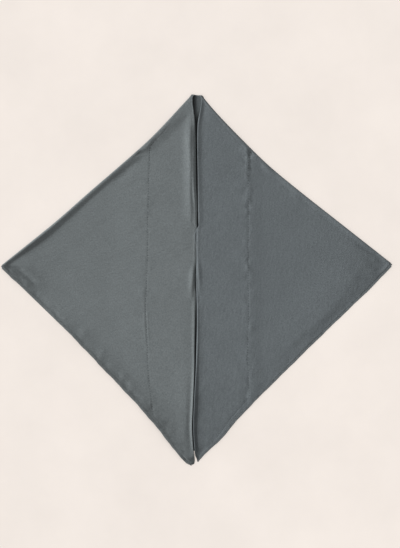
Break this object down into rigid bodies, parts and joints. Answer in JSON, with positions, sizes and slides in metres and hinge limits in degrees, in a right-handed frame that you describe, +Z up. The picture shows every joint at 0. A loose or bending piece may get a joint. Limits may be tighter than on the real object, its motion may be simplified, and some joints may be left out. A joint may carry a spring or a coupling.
{
  "type": "instant hijab",
  "caption": "Pull-on triangular hijab laid flat: cloth folded over along both upper edges, fronts meeting at a face slit and a chin seam, narrow hems below.",
  "frame": {"origin": "on the surface the garment lies on, under the centre of its outline", "axes": "+Z up from the surface, +Y towards the top of the head, +X to the right as seen from above"},
  "size_m": [0.856, 0.8113, 0.0106],
  "materials": {
    "cloth": "matte slate grey-green plain weave with a faint soft sheen",
    "facing": "the same cloth, its inner side, matte",
    "hem": "the same cloth, rolled and stitched"
  },
  "bodies": {
    "root": {"cloth": "cloth", "facing": "facing", "hem_left": "hem", "hem_right": "hem"}
  },
  "joints": []
}
